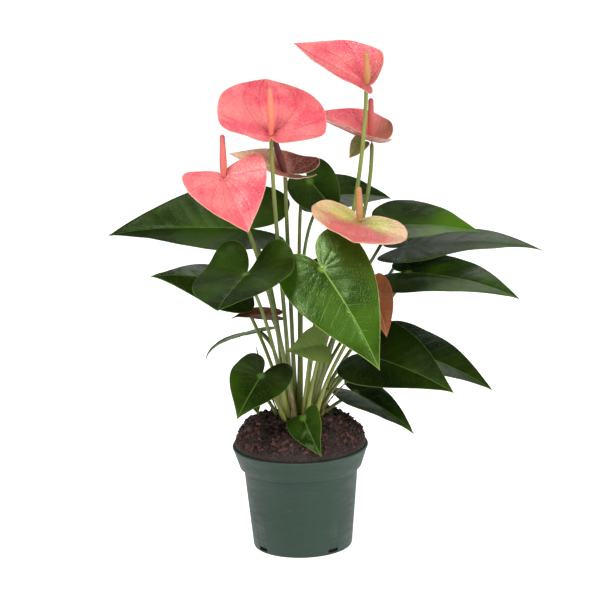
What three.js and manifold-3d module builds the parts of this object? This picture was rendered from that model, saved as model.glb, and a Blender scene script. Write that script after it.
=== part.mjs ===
// A potted flamingo plant (anthurium): nursery pot, bark and peat mix, heart-shaped leaves and flowers.
// Millimetres. The origin is the centre of the pot's underside, +Z is up and -Y is the front.
import * as THREE from "three";
import { mergeVertices } from "three/addons/utils/BufferGeometryUtils.js";
import Module from "manifold-3d";

const wasm = await Module();
wasm.setup();

// Air left between two pieces that touch on the real plant.
const GAP = 0.3;
const BLADE_GAP = 0.5;
const SHORTEST_EDGE = 0.02;

// Pot: a tapered cup with a flared rim band above a small ledge. Its edges are eased, and inside
// the wall steps out from STEP_DROP below the ledge to STEP_RISE above it.
const LIP_RADIUS = 65;
const POT_HEIGHT = 100;
const BAND_HEIGHT = 21;
const BAND_FLARE = 6.5;
const LEDGE = 3.8;
const BASE_RADIUS = 47.5;
const BASE_CHAMFER = 1.5;
const WALL = 1.5;
const FLOOR = 2;
const LIP_EDGE = 1;
const EASE = 0.5;
const STEP_RISE = 2;
const STEP_DROP = 1;
const POT_SEGMENTS = 36;

// Drain slots: short openings round the bottom edge of the pot.
const SLOT_COUNT = 4;
const SLOT_WIDTH = 11;
const SLOT_HEIGHT = 3.2;
const SLOT_SILL = 2.6;
const SLOT_FIRST_DEGREES = -53;

// Potting mix: fills the pot and stands above the rim in a steep-shouldered mound. Its lumps turn
// with the radius, by one radian per MOUND_SWIRL, and leave the middle share, MOUND_CALM, smooth.
const MOUND_HEIGHT = 28;
const MOUND_POWER = 5;
const MOUND_RINGS = 6;
const MOUND_UNEVEN = 1.6;
const MOUND_LUMPS = 3;
const MOUND_SWIRL = 9;
const MOUND_CALM = 0.4;
const MIX_BELOW_RIM = 1;

// The crown, where every stem leaves the mix: rings of stem bases round the middle.
const CROWN_RINGS = [0, 7.2, 13.6, 19.6];
const CROWN_SINK = 3;

// Blades (leaf and spathe): spokes on one side from the notch to the tip, and rings outwards.
const BLADE_THICKNESS = 0.6;
const BLADE_RINGS = 4;
const NOTCH_SPOKES = 2;
const LOBE_SPOKES = 3;
const TIP_SPOKES = 4;
const RIB_STEPS = 12;

// Stems: a petiole reaches its leaf leaning towards the tip, and a flower stalk stands upright.
const LEAF_ARRIVAL = [0.5, 0, 1];
const STALK_ARRIVAL = [0, 0, 1];
const PETIOLE_RADIUS = 2.1;
const STALK_RADIUS = 2.4;
const STEM_SIDES = 6;
const STEM_STEPS = 8;
const SPADIX_SIDES = 10;

const colours = {
  pot: 0x34594a,
  mix: 0x3a2018,
  leaf: 0x1d4a14,
  leafDark: 0x143410,
  leafBright: 0x2f7a1c,
  leafYoung: 0x5d7a3a,
  leafBronze: 0xa85a3c,
  petiole: 0x7f9a48,
  stalk: 0x7c9038,
  spathe: 0xe8707a,
  spatheOld: 0xd9a184,
  spatheGreen: 0xd7a26c,
  spadix: 0xc9814f,
  spadixRed: 0xc8404c,
  spadixDark: 0x6a2024,
};

const radians = THREE.MathUtils.degToRad;
const vector = (list) => new THREE.Vector3(...list);
// Leaves and flowers are placed by their height above the pot's rim.
const fromRim = ([x, y, z]) => new THREE.Vector3(x, y, POT_HEIGHT + z);

// ---------- solids ----------

function solidOf(geometry) {
  const bare = geometry.clone();
  bare.deleteAttribute("normal");
  bare.deleteAttribute("uv");
  const merged = mergeVertices(bare, 1e-4);
  return new wasm.Manifold(
    new wasm.Mesh({
      numProp: 3,
      vertProperties: merged.attributes.position.array,
      triVerts: new Uint32Array(merged.index.array),
    }),
  );
}

function geometryOf(solid) {
  const mesh = solid.getMesh();
  const indexed = new THREE.BufferGeometry();
  indexed.setAttribute("position", new THREE.BufferAttribute(mesh.vertProperties, 3));
  indexed.setIndex(new THREE.BufferAttribute(mesh.triVerts, 1));
  const geometry = indexed.toNonIndexed();
  geometry.computeVertexNormals();
  return geometry;
}

// Cuts the tools away and keeps the biggest piece that is left, without the shortest edges of the cut.
function cutAway(geometry, ...tools) {
  let solid = solidOf(geometry);
  for (const tool of tools) {
    solid = solid.subtract(tool);
  }
  const pieces = solid.decompose();
  pieces.sort((a, b) => b.volume() - a.volume());
  return geometryOf(pieces[0].simplify(SHORTEST_EDGE));
}

function lathe(profile, segments) {
  const points = profile.map(([r, z]) => new THREE.Vector2(r, z));
  const geometry = new THREE.LatheGeometry(points, segments);
  geometry.rotateX(Math.PI / 2);
  return geometry;
}

function named(name, geometry, colour, roughness) {
  const material = new THREE.MeshStandardMaterial({ color: colour, roughness, metalness: 0 });
  const mesh = new THREE.Mesh(geometry, material);
  mesh.name = name;
  return mesh;
}

// ---------- blades ----------

// The right-hand half of a heart-shaped outline of length 1, from the notch behind the stem to the tip.
function halfOutline(form) {
  const half = form.width / 2;
  const lobeY = form.spread * half;
  const point = (x, y) => new THREE.Vector2(x, y);
  const inner = new THREE.CubicBezierCurve(
    point(-form.notch, 0),
    point(-form.notch - 0.45 * (form.lobe - form.notch), 0.06 * half),
    point(-form.lobe, 0.3 * lobeY),
    point(-form.lobe, lobeY),
  );
  const shoulder = new THREE.CubicBezierCurve(
    point(-form.lobe, lobeY),
    point(-form.lobe, lobeY + 0.55 * (half - lobeY)),
    point(form.widest - 0.6 * (form.widest + form.lobe), half),
    point(form.widest, half),
  );
  const flank = new THREE.CubicBezierCurve(
    point(form.widest, half),
    point(form.widest + 0.4 * (1 - form.widest), half),
    point(0.72, form.point * half),
    point(1, 0),
  );
  const sample = (curve, count) => curve.getPoints(count).slice(0, count);
  return [
    ...sample(inner, NOTCH_SPOKES),
    ...sample(shoulder, LOBE_SPOKES),
    ...sample(flank, TIP_SPOKES),
    point(1, 0),
  ];
}

// Where a point of the flat outline goes once the midrib bends and the two halves fold and curl.
function shaped(form, x, y) {
  const forward = x >= 0;
  const reach = forward ? 1 : form.lobe;
  const pitchAt = (t) =>
    forward ? radians(form.bend * t + form.tipBend * t ** 3) : radians(form.lobeBend * t);
  const along = Math.abs(x) / reach;
  let ribX = 0;
  let ribZ = 0;
  for (let step = 0; step < RIB_STEPS; step += 1) {
    const pitch = pitchAt((along * (step + 0.5)) / RIB_STEPS);
    ribX += (Math.cos(pitch) * Math.abs(x)) / RIB_STEPS;
    ribZ += (Math.sin(pitch) * Math.abs(x)) / RIB_STEPS;
  }
  const direction = forward ? 1 : -1;
  const pitch = pitchAt(along) * direction;
  const half = form.width / 2;
  const side = Math.abs(y) / half;
  const fold = radians(form.fold);
  const curl = radians(form.curl) || 0.001;
  const across = (half / curl) * (Math.sin(fold + curl * side) - Math.sin(fold));
  const ripple = form.wave * side ** 2 * Math.sin(form.ripples * (x + form.lobe) + (y > 0 ? 0 : 2));
  const rise = (half / curl) * (Math.cos(fold) - Math.cos(fold + curl * side)) + ripple;
  const sweep = forward ? form.sweep * x ** 2 : 0;
  return new THREE.Vector3(
    direction * ribX - Math.sin(pitch) * rise,
    Math.sign(y) * across + sweep,
    ribZ + Math.cos(pitch) * rise,
  );
}

// The blade's middle surface: a pole where the stem meets it, and rings growing out to the edge.
function bladeSurface(form, length) {
  const half = halfOutline(form);
  const mirrored = half.slice(1, -1).reverse();
  const rim = [...half, ...mirrored.map((p) => new THREE.Vector2(p.x, -p.y))];
  const tip = shaped(form, 1, 0);
  const scale = length / Math.hypot(tip.x, tip.y, tip.z);
  const level = new THREE.Quaternion().setFromUnitVectors(
    tip.clone().normalize(),
    new THREE.Vector3(1, 0, 0),
  );
  const place = (x, y) => shaped(form, x, y).applyQuaternion(level).multiplyScalar(scale);
  const points = [place(0, 0)];
  for (let ring = 1; ring <= BLADE_RINGS; ring += 1) {
    const t = ring / BLADE_RINGS;
    for (const p of rim) {
      points.push(place(p.x * t, p.y * t));
    }
  }
  const count = rim.length;
  const at = (ring, spoke) => 1 + (ring - 1) * count + (spoke % count);
  const faces = [];
  for (let spoke = 0; spoke < count; spoke += 1) {
    faces.push([0, at(1, spoke + 1), at(1, spoke)]);
    for (let ring = 1; ring < BLADE_RINGS; ring += 1) {
      faces.push([at(ring, spoke), at(ring, spoke + 1), at(ring + 1, spoke + 1)]);
      faces.push([at(ring, spoke), at(ring + 1, spoke + 1), at(ring + 1, spoke)]);
    }
  }
  const edge = Array.from({ length: count }, (_, spoke) => at(BLADE_RINGS, spoke));
  return { points, faces, edge };
}

// A closed sheet of the given thickness round the middle surface.
function bladeGeometry(surface, thickness) {
  const { points, faces, edge } = surface;
  const middle = new THREE.BufferGeometry().setFromPoints(points);
  middle.setIndex(faces.flat());
  middle.computeVertexNormals();
  const normals = middle.attributes.normal;
  const shifted = (amount) =>
    points.map((p, i) => p.clone().addScaledVector(new THREE.Vector3().fromBufferAttribute(normals, i), amount));
  const count = points.length;
  const skin = [...shifted(thickness / 2), ...shifted(-thickness / 2)];
  const closed = [...faces];
  for (const [a, b, c] of faces) {
    closed.push([a + count, c + count, b + count]);
  }
  edge.forEach((a, i) => {
    const b = edge[(i + 1) % edge.length];
    closed.push([a, b, b + count]);
    closed.push([a, b + count, a + count]);
  });
  const geometry = new THREE.BufferGeometry().setFromPoints(skin);
  geometry.setIndex(closed.flat());
  geometry.computeVertexNormals();
  return geometry;
}

// A group standing where the stem meets the blade: +X runs to the tip and +Z out of the upper face.
function bladeFrame(piece) {
  const origin = fromRim(piece.at);
  const along = fromRim(piece.tip).sub(origin);
  const length = along.length();
  along.normalize();
  const face = vector(piece.face);
  face.addScaledVector(along, -face.dot(along)).normalize();
  const side = new THREE.Vector3().crossVectors(face, along);
  const group = new THREE.Group();
  group.position.copy(origin);
  group.setRotationFromMatrix(new THREE.Matrix4().makeBasis(along, side, face));
  group.updateMatrix();
  return { group, length };
}

// ---------- stems ----------

function moundTop(radius) {
  return POT_HEIGHT + MOUND_HEIGHT * (1 - (radius / LIP_RADIUS) ** MOUND_POWER);
}

function crownPoint([degrees, ring]) {
  const radius = CROWN_RINGS[ring];
  const angle = radians(degrees);
  return new THREE.Vector3(radius * Math.cos(angle), radius * Math.sin(angle), moundTop(0) - CROWN_SINK);
}

// A stem from the crown to the back of the blade, in the blade's own frame.
function stemGeometry(piece, group, radius) {
  const toLocal = group.matrix.clone().invert();
  const foot = crownPoint(piece.base);
  const top = fromRim(piece.at);
  const span = top.clone().sub(foot);
  const lean = piece.lean ?? 0.25;
  const climb = piece.climb ?? 0.45;
  const start = foot
    .clone()
    .add(new THREE.Vector3(span.x * lean, span.y * lean, span.z * climb))
    .applyMatrix4(toLocal);
  const rise = piece.rise ?? (piece.spadix && STALK_ARRIVAL);
  const arrive = rise
    ? vector(rise).applyQuaternion(group.quaternion.clone().invert())
    : vector(LEAF_ARRIVAL);
  arrive.normalize();
  const end = new THREE.Vector3(0, 0, -BLADE_THICKNESS / 2);
  const approach = span.length() * (piece.neck ?? 0.28);
  const path = new THREE.CubicBezierCurve3(
    foot.applyMatrix4(toLocal),
    start,
    end.clone().addScaledVector(arrive, -approach),
    end,
  );
  const section = new THREE.Shape();
  section.absarc(0, 0, radius, 0, 2 * Math.PI);
  return new THREE.ExtrudeGeometry(section, {
    extrudePath: path,
    steps: STEM_STEPS,
    curveSegments: STEM_SIDES / 2,
    bevelEnabled: false,
  });
}

// The mound with its clearance, seen from a blade's own frame.
function mixBelow(group) {
  const raised = mixGeometry().translate(0, 0, GAP);
  return solidOf(raised.applyMatrix4(group.matrix.clone().invert()));
}

// ---------- leaves ----------

const leafForm = {
  width: 0.78,
  lobe: 0.3,
  notch: 0.05,
  widest: 0.03,
  spread: 0.56,
  point: 0.3,
  fold: 14,
  curl: -10,
  bend: -14,
  tipBend: -14,
  lobeBend: -6,
  wave: 0.01,
  ripples: 9,
  sweep: 0,
};

const leaves = [
  {
    name: "leaf_far_left",
    at: [-47, 42, 203], tip: [-179, 62, 195], face: [0.05, -0.62, 1],
    base: [122, 2], lean: 0.3,
    form: { width: 0.72, fold: 20, curl: 0, bend: -4, tipBend: -18 },
  },
  {
    name: "leaf_left_lower",
    at: [-58, 16, 157], tip: [-138, 4, 168], face: [0.1, -0.5, 1],
    base: [155, 2],
    form: { width: 0.85, lobe: 0.26, fold: -12 },
  },
  {
    name: "leaf_left_round",
    at: [-46, -54, 182], tip: [-72, -118, 165], face: [-0.3, -0.5, 0.9],
    base: [220, 2],
    form: { width: 1.3, lobe: 0.58, widest: 0.04, spread: 0.52, point: 0.8, fold: 6, lobeBend: 66, bend: 0 },
  },
  {
    name: "leaf_front",
    at: [25, -52, 185], tip: [75.5, -86, 95], face: [0, -0.85, 0.45],
    base: [-73, 2], colour: colours.leafBright, rise: [0, -0.5, 1], neck: 0.14,
    form: { width: 0.78, lobe: 0.27, fold: 8, curl: -14, sweep: -0.08 },
  },
  {
    name: "leaf_right_high",
    at: [94, 52, 199], tip: [178, 40, 193], face: [0.05, -0.3, 1],
    base: [57, 2],
    form: { width: 0.94, lobe: 0.27, fold: 14, sweep: 0.05 },
  },
  {
    name: "leaf_right_long",
    at: [108, 62, 176], tip: [238, 44, 173], face: [0, -0.1, 1],
    base: [25, 2], lean: 0.1,
    form: { width: 0.72, lobe: 0.2, spread: 0.5, fold: 6 },
  },
  {
    name: "leaf_right_wide",
    at: [107, 15, 162], tip: [209, -44, 148], face: [0, -0.25, 1],
    base: [-8, 2],
    form: { width: 0.72, lobe: 0.22, spread: 0.48, fold: 8, curl: -14 },
  },
  {
    name: "leaf_right_low",
    at: [66, -14, 90], tip: [146, -48, 60], face: [0.2, -0.7, 0.8],
    base: [-16, 3], colour: colours.leafDark, lean: 0.12,
    form: { width: 0.92, lobe: 0.18 },
  },
  {
    name: "leaf_right_low_back",
    at: [94, 34, 83], tip: [186, 6, 45], face: [0.2, -0.4, 0.9],
    base: [28, 3], colour: colours.leafDark, lean: 0.2, climb: 0.95,
    form: { width: 0.7, lobe: 0.26 },
  },
  {
    name: "leaf_right_small",
    at: [54, 14, 45], tip: [109, -12, 10], face: [0.3, -0.5, 0.9],
    base: [5, 3], colour: colours.leafDark,
    form: { width: 0.66, lobe: 0.26 },
  },
  {
    name: "leaf_left_low",
    at: [-35, -42, 80], tip: [-58, -84, 51], face: [-0.1, -0.9, 0.7],
    base: [225, 3],
    form: { width: 1, lobe: 0.5, fold: 6 },
  },
  {
    name: "leaf_left_low_back",
    at: [-43, 2, 57], tip: [-39, -16, 34], face: [-0.3, -0.7, 0.5],
    base: [180, 3], colour: colours.leafDark,
    form: { width: 0.8 },
  },
  {
    name: "leaf_left_thin",
    at: [-36, 40, 101], tip: [-90, 28, 76], face: [-0.1, 0.3, 1],
    base: [138, 3],
    form: { width: 0.55, lobe: 0.25, tipBend: -50 },
  },
  {
    name: "leaf_young_olive",
    at: [22, -42, 109], tip: [-10, -54, 107], face: [0, -1, 0.5],
    base: [-70, 3], colour: colours.leafYoung, neck: 0.15,
    form: { width: 1.1, lobe: 0.2, fold: 20 },
  },
  {
    name: "leaf_over_soil",
    at: [4, -0.65 * LIP_RADIUS, 38], tip: [20, -1.14 * LIP_RADIUS, 9], face: [-0.5, -0.7, 0.6],
    base: [-98, 3], neck: 0.15,
    form: { width: 0.8, lobe: 0.14 },
  },
  {
    name: "leaf_top_back",
    at: [16, 52, 246], tip: [44, 66, 206], face: [0, -0.9, 0.3],
    base: [0, 0], neck: 0.12,
    form: { width: 0.95, lobe: 0.3 },
  },
  {
    name: "leaf_back_right",
    at: [30, 112, 216], tip: [96, 122, 210], face: [0, -0.4, 1],
    base: [90, 2],
    form: { width: 0.98, lobe: 0.36 },
  },
  {
    name: "leaf_behind_front",
    at: [38, -14, 178], tip: [71, -15, 93], face: [0.1, -0.85, 0.3],
    base: [-58, 1], colour: colours.leafDark, neck: 0.14,
    form: { width: 0.7, lobe: 0.16, fold: 0, bend: 0, tipBend: -6 },
  },
  {
    name: "leaf_bronze_right",
    at: [72, -42, 160], tip: [84, -48, 116], face: [0.3, -0.9, 0.3],
    base: [-46, 3], colour: colours.leafBronze, rise: [0, -0.5, 1], neck: 0.14, lean: 0.22,
    form: { width: 0.75 },
  },
  {
    name: "leaf_bronze_left",
    at: [-24, 0, 128], tip: [-62, -6, 128], face: [0, -0.4, 1],
    base: [187, 2], colour: colours.leafBronze,
    form: { width: 0.55 },
  },
];

function buildLeaf(leaf) {
  const form = { ...leafForm, ...leaf.form };
  const { group, length } = bladeFrame(leaf);
  const surface = bladeSurface(form, length);
  const clearance = solidOf(bladeGeometry(surface, BLADE_THICKNESS + 2 * BLADE_GAP));
  const petiole = cutAway(stemGeometry(leaf, group, PETIOLE_RADIUS), clearance, mixBelow(group));
  const blade = bladeGeometry(surface, BLADE_THICKNESS);
  group.add(named(`${leaf.name}_blade`, blade, leaf.colour ?? colours.leaf, 0.35));
  group.add(named(`${leaf.name}_petiole`, petiole, colours.petiole, 0.5));
  return group;
}

// ---------- flowers ----------

const spatheForm = {
  ...leafForm,
  width: 1.05,
  lobe: 0.3,
  widest: 0.06,
  spread: 0.6,
  point: 0.42,
  fold: 12,
  curl: 0,
  bend: 4,
  tipBend: 0,
  lobeBend: 10,
};

const flowers = [
  {
    name: "flower_top",
    at: [71, -4, 349], tip: [4, -2, 389], face: [0.2, -0.5, 1],
    base: [0, 1], lean: 0.6, rise: [0.03, -0.12, 1],
    spadix: [0, -0.1, 1], spadixLength: 31,
    colour: colours.spathe, spadixColour: colours.spadix,
    form: { width: 0.98, lobe: 0.11, widest: 0.06, fold: 16, curl: 22 },
  },
  {
    name: "flower_left_high",
    at: [-19, -24, 307], tip: [-22, 30, 350], face: [0.22, -0.7, 0.8],
    base: [188, 1],
    spadix: [0, -0.12, 1], spadixLength: 46,
    colour: colours.spathe, spadixColour: colours.spadix,
    form: { width: 1.52, widest: 0.16, spread: 0.45, point: 0.95, lobe: 0.36, lobeBend: 55 },
  },
  {
    name: "flower_left_front",
    at: [-64, -34, 271], tip: [-42, -80, 228], face: [0.05, -0.75, 0.8],
    base: [240, 1], rise: [-0.45, -0.2, 1],
    spadix: [0, 0, 1], spadixLength: 40,
    colour: colours.spathe, spadixColour: colours.spadixRed,
    form: { width: 1.22, lobe: 0.16, widest: -0.02, spread: 0.76, point: 0.4, lobeBend: -10 },
  },
  {
    name: "flower_behind",
    at: [-7, 8, 264], tip: [-60, 8, 284], face: [-0.2, -0.35, 0.9],
    base: [120, 1],
    spadix: [-0.28, -0.1, 1], spadixLength: 40,
    colour: colours.spatheOld, spadixColour: colours.spadixDark,
    form: { width: 0.8, lobe: 0.62, notch: 0.08, fold: 26, lobeBend: 44 },
  },
  {
    name: "flower_right_open",
    at: [61, -38, 226], tip: [54, -108, 223], face: [0.32, -0.06, 1],
    base: [-42, 2], lean: 0.45, rise: [0, -0.2, 1],
    spadix: [0, 0, 1], spadixLength: 33,
    colour: colours.spatheGreen, spadixColour: colours.spadix,
    form: { width: 1.32, lobe: 0.36, widest: 0.1, spread: 0.6, point: 0.8, fold: 2 },
  },
  {
    name: "flower_right_back",
    at: [76, 44, 284.5], tip: [16, 44, 314], face: [0.1, -0.15, 1],
    base: [60, 1], lean: 0.5,
    spadix: [0, -0.05, 1], spadixLength: 42,
    colour: colours.spathe, spadixColour: colours.spadixRed,
    form: { width: 1.1, lobe: 0.36, fold: 26, lobeBend: 50 },
  },
];

const spadixShape = { foot: 2.6, belly: 3.5, neck: 2.6, sink: 1.6 };

function spadixGeometry(length) {
  const { foot, belly, neck, sink } = spadixShape;
  return lathe(
    [
      [0, -sink],
      [foot, -sink],
      [belly, length * 0.3],
      [neck, length * 0.85],
      [neck * 0.6, length * 0.97],
      [0, length],
    ],
    SPADIX_SIDES,
  );
}

function buildFlower(flower) {
  const form = { ...spatheForm, ...flower.form };
  const { group, length } = bladeFrame(flower);
  const surface = bladeSurface(form, length);
  const clearance = solidOf(bladeGeometry(surface, BLADE_THICKNESS + 2 * BLADE_GAP));
  const stalk = cutAway(stemGeometry(flower, group, STALK_RADIUS), clearance, mixBelow(group));
  const turn = new THREE.Quaternion().setFromUnitVectors(
    new THREE.Vector3(0, 0, 1),
    vector(flower.spadix).normalize().applyQuaternion(group.quaternion.clone().invert()),
  );
  const spadix = cutAway(spadixGeometry(flower.spadixLength).applyQuaternion(turn), clearance);
  group.add(named(`${flower.name}_spathe`, bladeGeometry(surface, BLADE_THICKNESS), flower.colour, 0.4));
  group.add(named(`${flower.name}_spadix`, spadix, flower.spadixColour, 0.7));
  group.add(named(`${flower.name}_stalk`, stalk, colours.stalk, 0.5));
  return group;
}

// ---------- pot and potting mix ----------

const bandBottom = POT_HEIGHT - BAND_HEIGHT;
const bandRadius = LIP_RADIUS - BAND_FLARE;
const bodyRadius = bandRadius - LEDGE;

function buildPot() {
  const bodySlope = (bodyRadius - BASE_RADIUS) / bandBottom;
  const outside = [
    [0, 0],
    [BASE_RADIUS - BASE_CHAMFER, 0],
    [BASE_RADIUS, BASE_CHAMFER],
    [bodyRadius, bandBottom],
    [bandRadius, bandBottom + EASE],
    [LIP_RADIUS - EASE, POT_HEIGHT - 2 * LIP_EDGE],
    [LIP_RADIUS, POT_HEIGHT - LIP_EDGE],
    [LIP_RADIUS - EASE, POT_HEIGHT],
  ];
  const inside = [
    [LIP_RADIUS - WALL, POT_HEIGHT],
    [bandRadius - WALL, bandBottom + STEP_RISE],
    [bodyRadius - WALL, bandBottom - STEP_DROP],
    [BASE_RADIUS + bodySlope * FLOOR - WALL, FLOOR],
    [0, FLOOR],
  ];
  let pot = solidOf(lathe([...outside, ...inside], POT_SEGMENTS));
  for (let i = 0; i < SLOT_COUNT; i += 1) {
    const slot = new THREE.BoxGeometry(4 * WALL, SLOT_WIDTH, SLOT_HEIGHT);
    slot.translate(BASE_RADIUS, 0, SLOT_SILL + SLOT_HEIGHT / 2);
    slot.rotateZ(radians(SLOT_FIRST_DEGREES + (i * 360) / SLOT_COUNT));
    pot = pot.subtract(solidOf(slot));
  }
  return named("pot", geometryOf(pot), colours.pot, 0.6);
}

function mixGeometry() {
  const bodySlope = (bodyRadius - BASE_RADIUS) / bandBottom;
  const clear = WALL + GAP;
  const rimZ = POT_HEIGHT - MIX_BELOW_RIM;
  const bandShare = (rimZ - bandBottom - STEP_RISE) / (BAND_HEIGHT - STEP_RISE);
  const rimRadius = bandRadius - clear + BAND_FLARE * bandShare;
  const profile = [
    [0, FLOOR + GAP],
    [BASE_RADIUS + bodySlope * FLOOR - clear, FLOOR + GAP],
    [bodyRadius - clear, bandBottom - STEP_DROP],
    [bandRadius - clear, bandBottom + STEP_RISE + GAP],
    [rimRadius, rimZ],
  ];
  for (let ring = MOUND_RINGS - 1; ring >= 0; ring -= 1) {
    const radius = (rimRadius * ring) / MOUND_RINGS;
    profile.push([radius, moundTop(radius)]);
  }
  const geometry = lathe(profile, POT_SEGMENTS);
  const position = geometry.attributes.position;
  for (let i = 0; i < position.count; i += 1) {
    const x = position.getX(i);
    const y = position.getY(i);
    const radius = Math.hypot(x, y);
    if (position.getZ(i) > rimZ + LIP_EDGE && radius > MOUND_CALM * rimRadius) {
      const lump = Math.sin(MOUND_LUMPS * Math.atan2(y, x) + radius / MOUND_SWIRL);
      position.setZ(i, position.getZ(i) + MOUND_UNEVEN * lump);
    }
  }
  return geometry;
}

// ---------- the plant ----------

const group = new THREE.Group();
group.name = "potted_anthurium";
group.add(buildPot());
group.add(named("potting_mix", mixGeometry(), colours.mix, 0.95));
for (const leaf of leaves) {
  group.add(buildLeaf(leaf));
}
for (const flower of flowers) {
  group.add(buildFlower(flower));
}

export default group;
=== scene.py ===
import math
import random

import bmesh
import bpy
from mathutils import Matrix, Vector, noise


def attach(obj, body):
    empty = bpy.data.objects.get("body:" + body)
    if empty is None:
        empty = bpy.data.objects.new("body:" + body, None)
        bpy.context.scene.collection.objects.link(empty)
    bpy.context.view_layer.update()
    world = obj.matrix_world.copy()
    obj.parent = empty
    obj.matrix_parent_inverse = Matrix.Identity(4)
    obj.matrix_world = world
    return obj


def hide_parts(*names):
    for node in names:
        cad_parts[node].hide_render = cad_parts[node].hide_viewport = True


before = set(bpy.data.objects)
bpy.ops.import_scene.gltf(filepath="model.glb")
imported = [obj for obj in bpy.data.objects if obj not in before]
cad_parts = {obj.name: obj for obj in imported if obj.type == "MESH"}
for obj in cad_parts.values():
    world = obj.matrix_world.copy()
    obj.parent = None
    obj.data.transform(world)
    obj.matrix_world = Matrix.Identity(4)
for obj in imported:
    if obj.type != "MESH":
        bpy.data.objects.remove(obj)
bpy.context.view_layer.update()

# Potted flamingo plant (anthurium). Tables are in millimetres, the scene in metres.
# -Y is the front, and the origin is the middle of the pot's underside.
mm = 0.001
scene = bpy.context.scene


# small helpers

def fromRim(place):  # leaves and flowers are placed by their height above the pot's rim
    return Vector((place[0], place[1], potSize["height"] + place[2]))


def mixed(a, b, share):
    return a + (b - a) * share


def smooth(value, low, high):  # 0 below low, 1 above high, eased between
    share = min(max((value - low) / (high - low), 0.0), 1.0)
    return share * share * (3 - 2 * share)


def bump(value, width):  # 1 at zero, falling to nothing on both sides
    return math.exp(-((value / width) ** 2))


def rounded(share):  # a quarter circle: 0 at 0, 1 at 1
    return math.sqrt(max(1 - (1 - share) ** 2, 0))


def onCircle(radius, angle, height=0.0):
    return Vector((radius * math.cos(angle), radius * math.sin(angle), height))


def bezier(points, t):
    a, b, c, d = points
    s = 1 - t
    return s * s * s * a + 3 * s * s * t * b + 3 * s * t * t * c + t * t * t * d


def bezierPoint(a, b, c, d, t):
    return Vector([bezier(axis, t) for axis in zip(a, b, c, d)])


def finishMesh(bm, name, material, slotName, *nodes):
    bmesh.ops.remove_doubles(bm, verts=bm.verts, dist=0.02 * mm)
    bmesh.ops.dissolve_degenerate(bm, edges=bm.edges, dist=0.001 * mm)
    bmesh.ops.recalc_face_normals(bm, faces=bm.faces)
    return dressed(bm, name, material, slotName, *nodes)


def dressed(bm, name, material, slotName, *nodes, flat=False):
    for face in bm.faces:
        face.smooth = not flat
    piece = added(bm, f"{name}_look" if nodes else name, name)
    piece.data.materials.append(material)
    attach(piece, "root")
    if nodes:
        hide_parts(*nodes)
    return piece


def added(bm, name, meshName):
    mesh = bpy.data.meshes.new(meshName)
    bm.to_mesh(mesh)
    bm.free()
    made = bpy.data.objects.new(name, mesh)
    scene.collection.objects.link(made)
    return made


# nodes for the materials

def newMaterial(name):
    material = bpy.data.materials.new(name)
    material.use_nodes = True
    return material, material.node_tree, material.node_tree.nodes["Principled BSDF"]


def put(tree, kind, sockets=None, **settings):
    made = tree.nodes.new("ShaderNode" + kind)
    for name, value in settings.items():
        setattr(made, name, value)
    for name, value in (sockets or {}).items():
        if isinstance(value, bpy.types.NodeSocket):
            tree.links.new(value, made.inputs[name])
        else:
            made.inputs[name].default_value = value
    return made


def calc(tree, operation, a, b=0.0):
    return put(tree, "Math", {0: a, 1: b}, operation=operation).outputs[0]


def plus(tree, a, b):
    return calc(tree, "ADD", a, b)


def minus(tree, a, b):
    return calc(tree, "SUBTRACT", a, b)


def times(tree, a, b):
    return calc(tree, "MULTIPLY", a, b)


def ramp(tree, value, low, high, start=0.0, end=1.0):
    sockets = {"Value": value, "From Min": low, "From Max": high, "To Min": start, "To Max": end}
    return put(tree, "MapRange", sockets, interpolation_type="SMOOTHSTEP").outputs["Result"]


def fading(tree, value, low, high):  # 1 below low, 0 above high
    return ramp(tree, value, low, high, 1, 0)


def blended(tree, share, a, b):
    made = put(tree, "Mix", data_type="RGBA")
    for index, value in ((0, share), (6, a), (7, b)):
        if isinstance(value, bpy.types.NodeSocket):
            tree.links.new(value, made.inputs[index])
        else:
            made.inputs[index].default_value = (*value, 1) if isinstance(value, tuple) else value
    return made.outputs[2]


def layered(tree, colour, *layers):  # each layer is a mask, its strength and its colour
    for mask, strength, tint in layers:
        colour = blended(tree, times(tree, mask, strength), colour, tint)
    return colour


def clouds(tree, vector, scale, detail=3.0, distortion=0.0):
    sockets = {"Vector": vector, "Scale": scale, "Detail": detail, "Distortion": distortion}
    return put(tree, "TexNoise", sockets).outputs["Fac"]


def cells(tree, vector, scale, feature="DISTANCE_TO_EDGE"):
    made = put(tree, "TexVoronoi", {"Vector": vector, "Scale": scale}, feature=feature)
    return made.outputs["Distance"]


def scaled(tree, vector, scale):
    return put(tree, "Mapping", {"Vector": vector, "Scale": scale}).outputs[0]


def wire(tree, shader, **links):
    for name, value in links.items():
        tree.links.new(value, shader.inputs[name.replace("_", " ")])


def bumped(tree, shader, height, distance, strength):
    made = put(tree, "Bump", {"Height": height, "Distance": distance, "Strength": strength})
    tree.links.new(made.outputs[0], shader.inputs["Normal"])


def objectPlace(tree):
    return put(tree, "TexCoord").outputs["Object"]


def splitUp(tree, vector):
    return put(tree, "SeparateXYZ", {0: vector}).outputs


def attributeParts(tree, name):
    return splitUp(tree, put(tree, "Attribute", attribute_name=name).outputs["Vector"])


def fromVein(tree, phase):  # 0 on a vein, 0.5 half way to the next
    wrapped = calc(tree, "FRACT", plus(tree, phase, 0.5))
    return calc(tree, "ABSOLUTE", minus(tree, wrapped, 0.5))


def onSheet(tree, x, y, side, apart):  # a blade's own flat place, with its two sides held apart
    return put(tree, "CombineXYZ", {0: x, 1: y, 2: times(tree, side, apart)}).outputs[0]


# blades: the heart-shaped sheet of a leaf or a flower

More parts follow.
